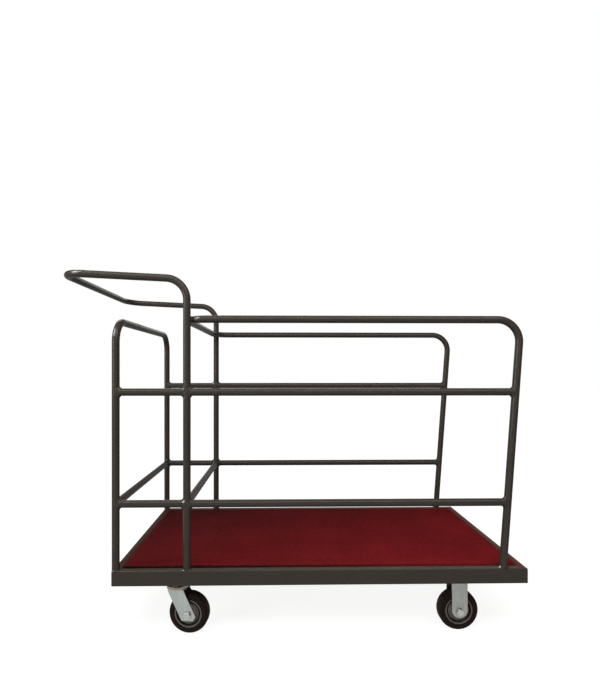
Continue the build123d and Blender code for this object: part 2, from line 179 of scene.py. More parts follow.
class TrolleyFrameSettings(bpy.types.PropertyGroup):
    """The cage's paint and welds."""

    paint: colour("Paint", "3f352e", "Bronze-grey powder coat")
    paint_shade: colour("Paint shade", "35302a", "Cooler patches of the powder coat")
    bare_steel: colour("Bare steel", "8b8680", "Steel that shows where the coat is chipped")
    # The bare weld's pale metal is partly a painted highlight, laid where the welds glint
    glinting_bare_weld: colour("Bare weld", "8f8882", "Weld metal that has lost its paint")
    # The lip stain is a carpet stain and painted shade, dark across most of the end lips
    stain_and_shade: colour("Lip stain", "4a1d19", "Carpet fluff and glue rubbed into the base's lip")
    front_stain_and_shade: colour("Front lip stain", "692a26", "Redder fluff on the front lip, where loads come in")
    # The rubbed lip is rubbed wear and painted light, paler towards the front
    rubbed_and_painted_light: colour("Rubbed lip", "756357", "Paler coat where loads have rubbed the lip")
    leg: length("Weld leg", 6.5, "How far a weld reaches along each of two tubes")
    foot_leg: length("Foot weld leg", 4.5, "How far the weld round a post's foot reaches")
    bend_bead: length("Bend bead", 2.2, "Radius of the weld bead between a top rail's bend and its post")
    ripple: length("Weld ripple", 3.6, "Spacing of the ripples along a weld")


class TrolleyDeckSettings(bpy.types.PropertyGroup):
    """The carpet and the board under it."""

    pile: colour("Pile", "831a1f", "Carpet in full light")
    pile_shade: colour("Pile shade", "581013", "Carpet between its fibre clumps")
    board: colour("Board", "b9935f", "Birch face of the plywood")
    board_grain: colour("Board grain", "8f6a3d", "Darker grain of the plywood")
    cell: length("Carpet cell", 4, "Spacing of the carpet's mesh")
    nap: length("Nap", 0.5, "How far the pile rises and falls")
    edge: length("Carpet edge", 9, "How wide the pressed-down edge is")
    edge_drop: length("Edge drop", 3.3, "How far the edge is pressed down")


class TrolleyCasterSettings(bpy.types.PropertyGroup):
    """The casters' metals, plastics and rubber."""

    zinc: colour("Zinc", "939590", "Zinc plate on the rigid brackets and the top plates")
    fork_zinc: colour("Fork zinc", "a0a4a1", "Bluer zinc plate on the swivel forks")
    warm_zinc: colour("Warm zinc", "a3968c", "Slightly warm zinc on the cups over the races")
    race_zinc: colour("Race zinc", "83766c", "Greased zinc on the swivel forks' race drums")
    yellow_zinc: colour("Yellow zinc", "a29387", "Yellowed zinc on the lower edge of the race drums")
    bolt: colour("Bolt zinc", "a9aaa7", "Zinc plate on bolts and nuts")
    bearing: colour("Bearing steel", "8c8c8e", "Ground steel of bearings and sleeves")
    rubber: colour("Rubber", "1f1211", "Black tyre rubber with a warm cast")
    dust: colour("Dust", "5a5049", "Floor dust on the tread")
    hub: colour("Hub", "6f6762", "Grey moulded polypropylene")


class TrolleyStageSettings(bpy.types.PropertyGroup):
    """The camera, the lamps and the floor."""

    eye: FloatVectorProperty(
        name="Eye", description="Where the camera stands", unit="LENGTH", subtype="TRANSLATION",
        size=3, default=(BASE_HIGH.x - 651.9 * MM, -1.4946, 0.7055),
    )
    yaw: FloatProperty(
        name="Yaw", description="Turn of the camera towards the front end", subtype="ANGLE",
        default=math.radians(1.0),
    )
    lens: FloatProperty(name="Lens", description="Focal length", subtype="DISTANCE_CAMERA", default=23.72)
    shift: FloatVectorProperty(
        name="Shift", description="Shift of the picture, as a share of its height", size=2,
        default=(0.0134, 0.0296),
    )
    floor: colour("Floor", "868684", "Pale studio floor, as the light sees it")
    daylight: colour("Daylight", "f1fff7", "Slightly green light of the windows and the tall lamp")
    lamplight: colour("Lamplight", "ffffff", "White light of the other lamps")
    sky: FloatProperty(name="Sky", description="Strength of the even light all round", default=0.12)
    window: power("Window", 45, "Power of the tall lamp on the left")
    strip: power("Strip", 39, "Power of the long lamp over the near side")
    back: power("Back", 25, "Power of the lamp behind on the left")
    wall: power("Wall", 4.2, "Power of the high window behind, which only gloss shows")
    skylight: power("Skylight", 75, "Power of the high window at the front left, which only gloss shows")


def add_node(tree, kind, inputs=None, **settings):
    """Add a node with its properties, and link or set its inputs. A node there means its first output."""
    node = tree.nodes.new(kind)
    for name, value in settings.items():
        setattr(node, name, value)
    for socket, value in (inputs or {}).items():
        if isinstance(value, bpy.types.Node):
            value = value.outputs[0]
        if isinstance(value, bpy.types.NodeSocket):
            tree.links.new(value, node.inputs[socket])
        else:
            node.inputs[socket].default_value = value
    return node


def per_size(millimetres):
    """The scale of a pattern whose features are this size, on coordinates in metres."""
    return 1 / (millimetres * MM)


def new_material(name):
    """An empty node material and its tree."""
    material = bpy.data.materials.new(name)
    material.use_nodes = True
    material.node_tree.nodes.clear()
    return material, material.node_tree


def close_material(tree, shader):
    """Link a shader to a material's output."""
    add_node(tree, "ShaderNodeOutputMaterial", {"Surface": shader})


def finish_slot(slot, material):
    """Give a material to every node in one of the record's slots."""
    for entry in frame["record"]["subparts"]:
        if entry["material_slot"] == slot:
            mesh = frame["nodes"][entry["node"]].data
            mesh.materials.clear()
            mesh.materials.append(material)


def add_piece(name, mesh_builder, material, body):
    """Turn a bmesh into a smooth piece that rides on a body."""
    mesh = bpy.data.meshes.new(name)
    bmesh.ops.recalc_face_normals(mesh_builder, faces=mesh_builder.faces)
    mesh_builder.to_mesh(mesh)
    mesh_builder.free()
    mesh.shade_smooth()
    mesh.materials.append(material)
    piece = bpy.data.objects.new(name, mesh)
    bpy.context.scene.collection.objects.link(piece)
    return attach(piece, body)


# Powder coat: a baked resin skin, so it is satin, a little pebbled and chipped to steel at hard edges
def powder_coat(settings):
    """Bronze-grey powder coat on steel tube and box section."""
    material, tree = new_material("powder_coated_steel")
    place = add_node(tree, "ShaderNodeTexCoord").outputs["Object"]
    patches = add_node(tree, "ShaderNodeTexNoise", {"Vector": place, "Scale": per_size(140), "Detail": 3.0})
    # The flecks are drawn at 3 mm, because real ones of about 0.1 mm are too fine to show
    flecks = add_node(tree, "ShaderNodeTexNoise", {"Vector": place, "Scale": per_size(3), "Detail": 2.0})
    pebble = add_node(tree, "ShaderNodeTexNoise", {"Vector": place, "Scale": per_size(3), "Detail": 1.0})
    chips = add_node(tree, "ShaderNodeTexNoise", {"Vector": place, "Scale": per_size(7), "Detail": 4.0})
    tint = add_node(
        tree, "ShaderNodeMix",
        {"Factor": patches, COLOUR_A: settings.paint, COLOUR_B: settings.paint_shade}, data_type="RGBA",
    )
    fleck_share = add_node(
        tree, "ShaderNodeMapRange", {"Value": flecks, "From Min": 0.5, "From Max": 0.8, "To Max": 0.06},
    )
    flecked = add_node(
        tree, "ShaderNodeMix",
        {
            "Factor": fleck_share,
            COLOUR_A: tint.outputs[MIXED],
            COLOUR_B: settings.bare_steel,
        }, data_type="RGBA",
    )
    rounded = add_node(tree, "ShaderNodeBevel", {"Radius": 1.2 * MM}, samples=4)
    plain = add_node(tree, "ShaderNodeNewGeometry").outputs["Normal"]
    facing = add_node(tree, "ShaderNodeVectorMath", {0: rounded, 1: plain}, operation="DOT_PRODUCT")
    edge = add_node(
        tree, "ShaderNodeMapRange", {"Value": facing.outputs["Value"], "From Min": 0.98, "From Max": 0.85},
    )
    chipped = add_node(tree, "ShaderNodeMapRange", {"Value": chips, "From Min": 0.62, "From Max": 0.66})
    wear = add_node(tree, "ShaderNodeMath", {0: edge, 1: chipped}, operation="MULTIPLY")
    worn = add_node(
        tree, "ShaderNodeMix",
        {"Factor": wear, COLOUR_A: flecked.outputs[MIXED], COLOUR_B: settings.bare_steel}, data_type="RGBA",
    )
    # The lip is stained and darkened with painted shade from the carpet's edge outwards, further on the end
    # rails, where loads drag over it
    centre = (CARPET_LOW + CARPET_HIGH) / 2
    half = (CARPET_HIGH - CARPET_LOW) / 2
    from_centre = add_node(
        tree, "ShaderNodeVectorMath", {0: place, 1: (centre.x, centre.y, BASE_TOP)}, operation="SUBTRACT",
    )
    outward = add_node(tree, "ShaderNodeVectorMath", {0: from_centre}, operation="ABSOLUTE")
    beyond = add_node(
        tree, "ShaderNodeVectorMath", {0: outward, 1: (half.x, half.y, 0)}, operation="SUBTRACT",
    )
    reach = add_node(tree, "ShaderNodeSeparateXYZ", {"Vector": beyond})
    end_reach = add_node(
        tree, "ShaderNodeMapRange",
        {
            "Value": reach.outputs["X"],
            "From Min": 2 * MM,
            "From Max": 14 * MM,
            "To Min": 0.95,
            "To Max": 0.15,
        },
    )
    on_end = add_node(tree, "ShaderNodeMath", {0: reach.outputs["X"], 1: 0.0}, operation="GREATER_THAN")
    side_reach = add_node(
        tree, "ShaderNodeMapRange",
        {"Value": reach.outputs["Y"], "From Min": 1 * MM, "From Max": 4 * MM, "To Min": 0.5, "To Max": 0.0},
    )
    stain_and_shade_share = add_node(tree, "ShaderNodeMix", {"Factor": on_end, "A": side_reach, "B": end_reach})
    # Only the level top of the base counts as its lip
    level = add_node(tree, "ShaderNodeMath", {0: reach.outputs["Z"], 1: 0.5 * MM}, operation="LESS_THAN")
    facing_up = add_node(tree, "ShaderNodeSeparateXYZ", {"Vector": plain}).outputs["Z"]
    flat_top = add_node(tree, "ShaderNodeMath", {0: facing_up, 1: 0.9}, operation="GREATER_THAN")
    on_lip = add_node(tree, "ShaderNodeMath", {0: level, 1: flat_top}, operation="MULTIPLY")
    # Painted shade: the lip's top is darkened near the carpet
    stained_and_shaded = add_node(tree, "ShaderNodeMath", {0: stain_and_shade_share, 1: on_lip}, operation="MULTIPLY")
    # The stain and its painted shade are redder on the front lip, and the lip is made paler towards the
    # front, from rubbing and painted light
    forward = add_node(tree, "ShaderNodeSeparateXYZ", {"Vector": from_centre}).outputs["X"]
    front_end = add_node(tree, "ShaderNodeMath", {0: forward, 1: half.x}, operation="GREATER_THAN")
    stain_and_shade = add_node(
        tree, "ShaderNodeMix",
        {"Factor": front_end, COLOUR_A: settings.stain_and_shade, COLOUR_B: settings.front_stain_and_shade}, data_type="RGBA",
    )
    rubbing_and_painted_light = add_node(
        tree, "ShaderNodeMapRange",
        {"Value": forward, "From Min": -0.45, "From Max": 0.55, "To Min": 0.08, "To Max": 0.38},
    )
    rubbed_and_painted_light_share = add_node(tree, "ShaderNodeMath", {0: rubbing_and_painted_light, 1: on_lip}, operation="MULTIPLY")
    rubbed_and_painted_light = add_node(
        tree, "ShaderNodeMix",
        {"Factor": rubbed_and_painted_light_share, COLOUR_A: worn.outputs[MIXED], COLOUR_B: settings.rubbed_and_painted_light}, data_type="RGBA",
    )
    finish = add_node(
        tree, "ShaderNodeMix",
        {
            "Factor": stained_and_shaded,
            COLOUR_A: rubbed_and_painted_light.outputs[MIXED],
            COLOUR_B: stain_and_shade.outputs[MIXED],
        }, data_type="RGBA",
    )
    # The end lips have lost most of their sheen
    dulled = add_node(tree, "ShaderNodeMath", {0: on_lip, 1: on_end}, operation="MULTIPLY")
    coat = add_node(tree, "ShaderNodeMapRange", {"Value": dulled, "To Min": 0.25, "To Max": 0.05})
    gloss = add_node(
        tree, "ShaderNodeMapRange", {"Value": patches, **NOISE_RANGE, "To Min": 0.6, "To Max": 0.75},
    )
    bump = add_node(
        tree, "ShaderNodeBump",
        {"Height": pebble, "Strength": 0.08, "Distance": 0.06 * MM, "Normal": rounded},
    )
    shader = add_node(
        tree, "ShaderNodeBsdfPrincipled",
        {
            "Base Color": finish.outputs[MIXED],
            "Roughness": gloss,
            "Normal": bump,
            "Specular IOR Level": 0.02,
            "Coat Weight": coat,
            "Coat Roughness": 0.17,
        },
    )
    close_material(tree, shader)
    return material


# Needle-punched carpet: a mat of short matt fibres, so it is dull, mottled and darker between its clumps
def needle_felt(settings):
    """Dark red needle-punched carpet."""
    material, tree = new_material("needle_punched_carpet")
    place = add_node(tree, "ShaderNodeTexCoord").outputs["Object"]
    clumps = add_node(
        tree, "ShaderNodeTexNoise", {"Vector": place, "Scale": per_size(5), "Detail": 6.0, "Roughness": 0.65},
    )
    # The fibres are drawn at 1.5 mm, because real ones of 0.05 mm are too fine to show
    fibres = add_node(
        tree, "ShaderNodeTexNoise",
        {"Vector": place, "Scale": per_size(1.5), "Detail": 4.0, "Roughness": 0.7, "Distortion": 1.2},
    )
    tread = add_node(tree, "ShaderNodeTexNoise", {"Vector": place, "Scale": per_size(150), "Detail": 4.0})
    depth = add_node(tree, "ShaderNodeMapRange", {"Value": clumps, "From Min": 0.3, "From Max": 0.68})
    mat = add_node(
        tree, "ShaderNodeMix",
        {"Factor": depth, COLOUR_A: settings.pile_shade, COLOUR_B: settings.pile}, data_type="RGBA",
    )
    worn_share = add_node(
        tree, "ShaderNodeMapRange",
        {"Value": tread, "From Min": 0.35, "From Max": 0.7, "To Min": 0.88, "To Max": 1.12},
    )
    nap_share = add_node(
        tree, "ShaderNodeMapRange", {"Value": fibres, **NOISE_RANGE, "To Min": 0.6, "To Max": 1.4},
    )
    # Painted light: the pile is made lighter towards the near front corner and darker towards the far corner,
    # where less light falls
    spot = add_node(tree, "ShaderNodeVectorMath", {0: place, 1: PAINTED_LIGHT_WAY}, operation="DOT_PRODUCT")
    painted_light_falloff = add_node(
        tree, "ShaderNodeMapRange",
        {"Value": spot.outputs["Value"], "From Min": -0.4, "From Max": 0.4, "To Min": 0.35, "To Max": 1.12},
    )
    # The tread's random wear and the painted light together scale the pile's colour
    wear_and_painted_light = add_node(tree, "ShaderNodeMath", {0: worn_share, 1: painted_light_falloff}, operation="MULTIPLY")
    shading = add_node(tree, "ShaderNodeMath", {0: wear_and_painted_light, 1: nap_share}, operation="MULTIPLY")
    shaded = add_node(
        tree, "ShaderNodeVectorMath", {0: mat.outputs[MIXED], "Scale": shading}, operation="SCALE",
    )
    # Painted shade lies in a ragged line along the long sides and thinly in a wider band, less of both
    # towards the front
    border = add_node(tree, "ShaderNodeAttribute", attribute_name="border")
    ragged = add_node(
        tree, "ShaderNodeMath", {0: clumps, 1: 8 * MM, 2: border.outputs["Fac"]}, operation="MULTIPLY_ADD",
    )
    forward = add_node(tree, "ShaderNodeSeparateXYZ", {"Vector": place}).outputs["X"]
    edge_share = add_node(
        tree, "ShaderNodeMapRange",
        {"Value": forward, "From Min": -0.2, "From Max": 0.5, "To Min": 0.16, "To Max": 0.6},
    )
    unshaded_share = add_node(
        tree, "ShaderNodeMapRange",
        {"Value": ragged, "From Min": 9 * MM, "From Max": 17 * MM, "To Min": edge_share},
    )
    border_share = add_node(
        tree, "ShaderNodeMapRange",
        {"Value": forward, "From Min": -0.2, "From Max": 0.5, "To Min": 0.76, "To Max": 0.95},
    )
    shade_band = add_node(
        tree, "ShaderNodeMapRange",
        {"Value": border.outputs["Fac"], "From Min": 15 * MM, "From Max": 70 * MM, "To Min": border_share},
    )
    # Painted shade: the pile is darkened along the long sides, under the rails
    dust_and_edge_shade = add_node(tree, "ShaderNodeMath", {0: unshaded_share, 1: shade_band}, operation="MULTIPLY")
    shade_darkened = add_node(tree, "ShaderNodeVectorMath", {0: shaded, "Scale": dust_and_edge_shade}, operation="SCALE")
    height = add_node(tree, "ShaderNodeMath", {0: clumps, 1: fibres}, operation="ADD")
    bump = add_node(tree, "ShaderNodeBump", {"Height": height, "Strength": 0.7, "Distance": 0.7 * MM})
    shader = add_node(
        tree, "ShaderNodeBsdfPrincipled",
        {
            "Base Color": shade_darkened,
            "Normal": bump,
            "Roughness": 0.95,
            "Specular IOR Level": 0.04,
        },
    )
    close_material(tree, shader)
    return material


# Birch plywood: peeled veneer, so its face has long pale figure and its edge shows the plies
def birch_plywood(settings):
    """Bare birch plywood."""
    material, tree = new_material("birch_plywood")
    place = add_node(tree, "ShaderNodeTexCoord").outputs["Object"]
    along = add_node(
        tree, "ShaderNodeMapping", {"Vector": place, "Scale": (per_size(260), per_size(9), per_size(2.4))},
    )
    figure = add_node(
        tree, "ShaderNodeTexNoise", {"Vector": along, "Scale": 1.0, "Detail": 6.0, "Distortion": 0.6},
    )
    share = add_node(tree, "ShaderNodeMapRange", {"Value": figure, "From Min": 0.35, "From Max": 0.7})
    face = add_node(
        tree, "ShaderNodeMix",
        {"Factor": share, COLOUR_A: settings.board, COLOUR_B: settings.board_grain}, data_type="RGBA",
    )
    bump = add_node(tree, "ShaderNodeBump", {"Height": figure, "Strength": 0.2, "Distance": 0.2 * MM})
    shader = add_node(
        tree, "ShaderNodeBsdfPrincipled",
        {"Base Color": face.outputs[MIXED], "Normal": bump, "Roughness": 0.6},
    )
    close_material(tree, shader)
    return material


# Zinc plate: bright and thin over rolled steel, so it is pale, softly clouded and streaked along the rolling
def plated_metal(name, tint, rough, streak, bands=()):
    """Plated steel with streaks of a width in millimetres, and bands of other tints between two heights."""
    material, tree = new_material(name)
    place = add_node(tree, "ShaderNodeTexCoord").outputs["Object"]
    clouds = add_node(tree, "ShaderNodeTexNoise", {"Vector": place, "Scale": per_size(16), "Detail": 4.0})
    along = add_node(
        tree, "ShaderNodeMapping",
        {"Vector": place, "Scale": (per_size(streak), per_size(streak), per_size(25 * streak))},
    )
    lines = add_node(tree, "ShaderNodeTexNoise", {"Vector": along, "Scale": 1.0, "Detail": 3.0})
    cloud_share = add_node(
        tree, "ShaderNodeMapRange", {"Value": clouds, **NOISE_RANGE, "To Min": 0.95, "To Max": 1.03},
    )
    line_share = add_node(
        tree, "ShaderNodeMapRange", {"Value": lines, **NOISE_RANGE, "To Min": 0.91, "To Max": 1.06},
    )
    share = add_node(tree, "ShaderNodeMath", {0: cloud_share, 1: line_share}, operation="MULTIPLY")
    plate = add_node(tree, "ShaderNodeVectorMath", {0: tint[:3], "Scale": share}, operation="SCALE")
    for band_tint, bottom, top in bands:
        height = add_node(tree, "ShaderNodeSeparateXYZ", {"Vector": place}).outputs["Z"]
        over = add_node(tree, "ShaderNodeMath", {0: height, 1: bottom}, operation="GREATER_THAN")
        under = add_node(tree, "ShaderNodeMath", {0: height, 1: top}, operation="LESS_THAN")
        inside = add_node(tree, "ShaderNodeMath", {0: over, 1: under}, operation="MULTIPLY")
        plate = add_node(
            tree, "ShaderNodeMix", {"Factor": inside, COLOUR_A: plate, COLOUR_B: band_tint}, data_type="RGBA",
        ).outputs[MIXED]
    gloss = add_node(
        tree, "ShaderNodeMapRange",
        {"Value": clouds, **NOISE_RANGE, "To Min": rough + 0.06, "To Max": rough - 0.04},
    )
    rounded = add_node(tree, "ShaderNodeBevel", {"Radius": 0.6 * MM}, samples=4)
    bump = add_node(
        tree, "ShaderNodeBump", {"Height": lines, "Strength": 0.15, "Distance": 0.05 * MM, "Normal": rounded},
    )
    shader = add_node(
        tree, "ShaderNodeBsdfPrincipled",
        {
            "Base Color": plate,
            "Roughness": gloss,
            "Normal": bump,
            "Metallic": 1.0,
        },
    )
    close_material(tree, shader)
    return material


# Tyre rubber: moulded and matt, so it is near black, with a bloom of dust where it meets the floor
def tyre_rubber(settings):
    """Black moulded rubber with dust on the tread."""
    material, tree = new_material("moulded_rubber")
    coordinates = add_node(tree, "ShaderNodeTexCoord")
    place = coordinates.outputs["Object"]
    facing = add_node(tree, "ShaderNodeSeparateXYZ", {"Vector": coordinates.outputs["Normal"]})
    sideways = add_node(tree, "ShaderNodeMath", {0: facing.outputs["Y"]}, operation="ABSOLUTE")
    on_tread = add_node(tree, "ShaderNodeMapRange", {"Value": sideways, "From Min": 0.75, "From Max": 0.25})
    dust_and_edge_shade = add_node(tree, "ShaderNodeTexNoise", {"Vector": place, "Scale": per_size(9), "Detail": 6.0})
    grime_share = add_node(
        tree, "ShaderNodeMapRange", {"Value": dust_and_edge_shade, "From Min": 0.42, "From Max": 0.75, "To Max": 0.45},
    )
    dusted = add_node(tree, "ShaderNodeMath", {0: on_tread, 1: grime_share}, operation="MULTIPLY")
    tint = add_node(
        tree, "ShaderNodeMix",
        {"Factor": dusted, COLOUR_A: settings.rubber, COLOUR_B: settings.dust}, data_type="RGBA",
    )
    bump = add_node(tree, "ShaderNodeBump", {"Height": dust_and_edge_shade, "Strength": 0.15, "Distance": 0.15 * MM})
    shader = add_node(
        tree, "ShaderNodeBsdfPrincipled",
        {
            "Base Color": tint.outputs[MIXED],
            "Normal": bump,
            "Roughness": 0.7,
            "Specular IOR Level": 0.08,
        },
    )
    close_material(tree, shader)
    return material


# Polypropylene: moulded with a fine spark texture, so it is waxy grey; painted shade darkens its corners and
# recesses
def moulded_polypropylene(settings):
    """Grey moulded polypropylene of the wheel's core."""
    material, tree = new_material("moulded_polypropylene")
    place = add_node(tree, "ShaderNodeTexCoord").outputs["Object"]
    clouds = add_node(tree, "ShaderNodeTexNoise", {"Vector": place, "Scale": per_size(14), "Detail": 4.0})
    # The spark texture is drawn at 1 mm, because a real one of about 0.1 mm is too fine to show
    grain = add_node(tree, "ShaderNodeTexNoise", {"Vector": place, "Scale": per_size(1.0), "Detail": 2.0})
    share = add_node(
        tree, "ShaderNodeMapRange", {"Value": clouds, **NOISE_RANGE, "To Min": 0.8, "To Max": 1.1},
    )
    tint = add_node(tree, "ShaderNodeVectorMath", {0: settings.hub[:3], "Scale": share}, operation="SCALE")
    # Painted shade: ambient occlusion darkens the core's recesses and corners
    corner = add_node(tree, "ShaderNodeAmbientOcclusion", {"Distance": 12 * MM}, samples=8)
    unshaded_share = add_node(
        tree, "ShaderNodeMapRange",
        {"Value": corner.outputs["AO"], "From Min": 0.25, "From Max": 0.75, "To Min": 0.25},
    )
    shade_darkened = add_node(tree, "ShaderNodeVectorMath", {0: tint, "Scale": unshaded_share}, operation="SCALE")
    bump = add_node(tree, "ShaderNodeBump", {"Height": grain, "Strength": 0.2, "Distance": 0.06 * MM})
    shader = add_node(
        tree, "ShaderNodeBsdfPrincipled",
        {
            "Base Color": shade_darkened,
            "Normal": bump,
            "Roughness": 0.5,
            "Specular IOR Level": 0.15,
        },
    )
    close_material(tree, shader)
    return material


def touch(skin, point):
    """The nearest point on a skin and the way out there. A flat skin has a normal for axis and no radius."""
    start, along, radius = skin
    rise = (point - start).dot(along) * along
    if radius == 0:
        return point - rise, along
    outward = (point - start - rise).normalized()
    return start + rise + radius * outward, outward


def nearest_skin(skins, point):
    """The skin that a point is nearest to."""
    return min(skins, key=lambda skin: (touch(skin, point)[0] - point).length)


def saddle(tube, posts, steps=72, softness=1.2 * MM):
    """The closed line where one tube ends on the skins of others."""
    start, along, radius = tube
    across = along.orthogonal().normalized()
    upright = along.cross(across)
    line = []
    for i in range(steps):
        angle = math.tau * i / steps
        skin = start + radius * (math.cos(angle) * across + math.sin(angle) * upright)
        run = 0.0
        for post, axis, post_radius in posts:
            offset = (skin - post) - (skin - post).dot(axis) * axis
            step = along - along.dot(axis) * axis
            half = offset.dot(step)
            room = half * half - step.length_squared * (offset.length_squared - post_radius**2)
            run = max(run, (math.sqrt(max(room, softness**2)) - half) / step.length_squared)
        line.append(skin + run * along)
    return line


def ring(centre, normal, radius, steps=72):
    """A closed round line about a centre."""
    across = normal.orthogonal().normalized()
    upright = normal.normalized().cross(across)
    angles = [math.tau * i / steps for i in range(steps)]
    return [centre + radius * (math.cos(a) * across + math.sin(a) * upright) for a in angles]


def contact_line(centre, towards, reach, steps=48):
    """The closed line round the spot where a level tube's side touches an upright one."""
    across = UP.cross(towards)
    recess = (TUBE_RADIUS - math.sqrt(TUBE_RADIUS**2 - reach**2)) / 2
    line = []
    for i in range(steps):
        angle = math.tau * i / steps
        flat = reach * (math.cos(angle) * across + math.sin(angle) * UP)
        line.append(centre + flat + recess * math.cos(2 * angle) * towards)
    return line


def straight_line(start, end, spacing=1.2 * MM):
    """Points at an even spacing from start to end."""
    count = max(2, round((end - start).length / spacing))
    return [start.lerp(end, i / count) for i in range(count + 1)]


def way_along(line, i, closed):
    """The direction of a line at one of its points."""
    count = len(line)
    ahead = line[(i + 1) % count] if closed else line[min(i + 1, count - 1)]
    behind = line[i - 1] if closed else line[max(i - 1, 0)]
    return (ahead - behind).normalized()


def swell(point, walked, ripple):
    """How much wider a weld is at a point, from its ripples and the welder's hand."""
    ripples = RIPPLE_SWELL * math.sin(math.tau * walked / ripple)
    return 1 + ripples + HAND_SWELL * noise.noise(point * per_size(HAND_SPAN))


def add_fillet(builder, line, tube, posts, legs, ripple, closed=True, sides=6):
    """Sweep a rippled weld along a line, between a tube's skin and the skins that it ends on."""
    rows = []
    walked = 0.0
    ways = [way_along(line, i, closed) for i in range(len(line))]
    outs = [touch(tube, point)[1] for point in line]
    met = [nearest_skin(posts, point) for point in line]
    post_outs = [touch(post, point)[1] for post, point in zip(met, line)]
    tube_turn = math.copysign(1, sum(w.cross(a).dot(b) for w, a, b in zip(ways, outs, post_outs)))
    post_turn = math.copysign(1, sum(w.cross(b).dot(a) for w, a, b in zip(ways, outs, post_outs)))
    for i, point in enumerate(line):
        walked += (point - line[i - 1]).length if i else 0.0
        flush = max(0.0, outs[i].dot(post_outs[i]))
        leg = legs[i] * (1 - FLUSH_CUT * flush) * swell(point, walked, ripple)
        out = (outs[i] + post_outs[i]).normalized()
        on_tube = tube_turn * ways[i].cross(outs[i])
        on_post = post_turn * ways[i].cross(post_outs[i])
        tube_foot, tube_out = touch(tube, point + leg * on_tube)
        post_foot, post_out = touch(met[i], point + leg * on_post)
        tube_foot -= WELD_ROOT * tube_out
        post_foot -= WELD_ROOT * post_out
        corner = point + WELD_FILL * leg * (on_tube + on_post)
        row = [builder.verts.new(point - WELD_DEPTH * out)]
        for k in range(sides + 1):
            t = k / sides
            bow = (1 - t) ** 2 * tube_foot + 2 * t * (1 - t) * corner + t**2 * post_foot
            row.append(builder.verts.new(bow + 4 * t * (1 - t) * WELD_CROWN * (WELD_BULGE + flush) * out))
        rows.append(row)
    for row, after in zip(rows, rows[1:]):
        bridge_rows(builder, row, after, 0)
    if closed:
        bridge_rows(builder, rows[-1], rows[0], 0)
    else:
        builder.faces.new(rows[0])
        builder.faces.new(rows[-1])


def add_bead(builder, line, radius, ripple, sides=10):
    """Sweep a rippled round bead along a closed line."""
    rows = []
    across = None
    walked = 0.0
    for i, point in enumerate(line):
        tangent = way_along(line, i, True)
        across = across - across.dot(tangent) * tangent if across else tangent.orthogonal()
        across.normalize()
        upright = tangent.cross(across)
        walked += (point - line[i - 1]).length if i else 0.0
        row = []
        for k in range(sides):
            angle = math.tau * k / sides
            skin = math.cos(angle) * across + math.sin(angle) * upright
            row.append(builder.verts.new(point + radius * swell(point, walked, ripple) * skin))
        rows.append(row)
    for row, after in zip(rows, rows[1:]):
        bridge_rows(builder, row, after, 0)
    gaps = [(rows[-1][0].co - vert.co).length for vert in rows[0]]
    bridge_rows(builder, rows[-1], rows[0], gaps.index(min(gaps)))


def bridge_rows(builder, row, after, shift):
    """Join two rings of points with faces, the second one turned by a number of points."""
    sides = len(row)
    for k in range(sides):
        after_low = after[(k + shift) % sides]
        after_high = after[(k + 1 + shift) % sides]
        builder.faces.new((row[k], row[(k + 1) % sides], after_high, after_low))


def nearby(line, spot, reach):
    """The stretch of a closed line about the point nearest to a spot."""
    gaps = [(point - spot).length for point in line]
    first = gaps.index(min(gaps)) - reach
    return [line[(first + k) % len(line)] for k in range(2 * reach + 1)]


def lip_room(point, y):
    """How far a point on the base's lip is from the lip's outer edges, on the side rail about y."""
    return min(point.x - BASE_LOW.x, BASE_HIGH.x - point.x, (BASE_HIGH.y - BASE_LOW.y) / 2 - abs(point.y - y))


def front_post_x(z):
    """Where the leaning front posts' axis is at a height."""
    return FOOT_X + (z - BASE_TOP) * LEAN


def weld_end(builder, tube, posts, settings):
    """Weld a tube all round where it ends on the skins of others."""
    line = saddle(tube, posts)
    add_fillet(builder, line, tube, posts, [settings.leg] * len(line), settings.ripple)


def weld_rails(builder, side, settings):
    """Weld one side's low and mid rails to the posts."""
    y = side * POST_Y
    for z in (LOW_Z, MID_Z):
        hoop = Vector((HOOP_X, y, z))
        handle = Vector((HANDLE_X, y, z))
        front = Vector((front_post_x(z), y, z))
        ends = (
            (hoop, FORWARD, UP),
            (front, -FORWARD, LEANING),
            (handle, -FORWARD, UP),
            (handle, FORWARD, UP),
        )
        for place, along, post_along in ends:
            post = (place, post_along, TUBE_RADIUS)
            weld_end(builder, (place, along, TUBE_RADIUS), [post], settings)


def weld_crossbars(builder, side, settings):
    """Weld the low crossbars to one side's posts, and between the handle posts to the rails there too."""
    for x, met in ((HOOP_X, [UP]), (HANDLE_X, [UP, FORWARD])):
        place = Vector((x, side * POST_Y, LOW_Z))
        posts = [(place, along, TUBE_RADIUS) for along in met]
        weld_end(builder, (place, Vector((0, -side, 0)), TUBE_RADIUS), posts, settings)


def weld_feet(builder, side, settings):
    """Weld one side's posts to the base."""
    y = side * POST_Y
    for x, along in ((HOOP_X, UP), (HANDLE_X, UP), (FOOT_X, LEANING)):
        place = Vector((x, y, BASE_TOP))
        line = ring(place, UP, TUBE_RADIUS)
        # The base is as wide as the tube, so the weld thins out at the base's outer edges
        legs = [max(WELD_ROOT, min(settings.foot_leg, lip_room(point, y))) for point in line]
        add_fillet(builder, line, (place, along, TUBE_RADIUS), [(place, UP, 0)], legs, settings.ripple)


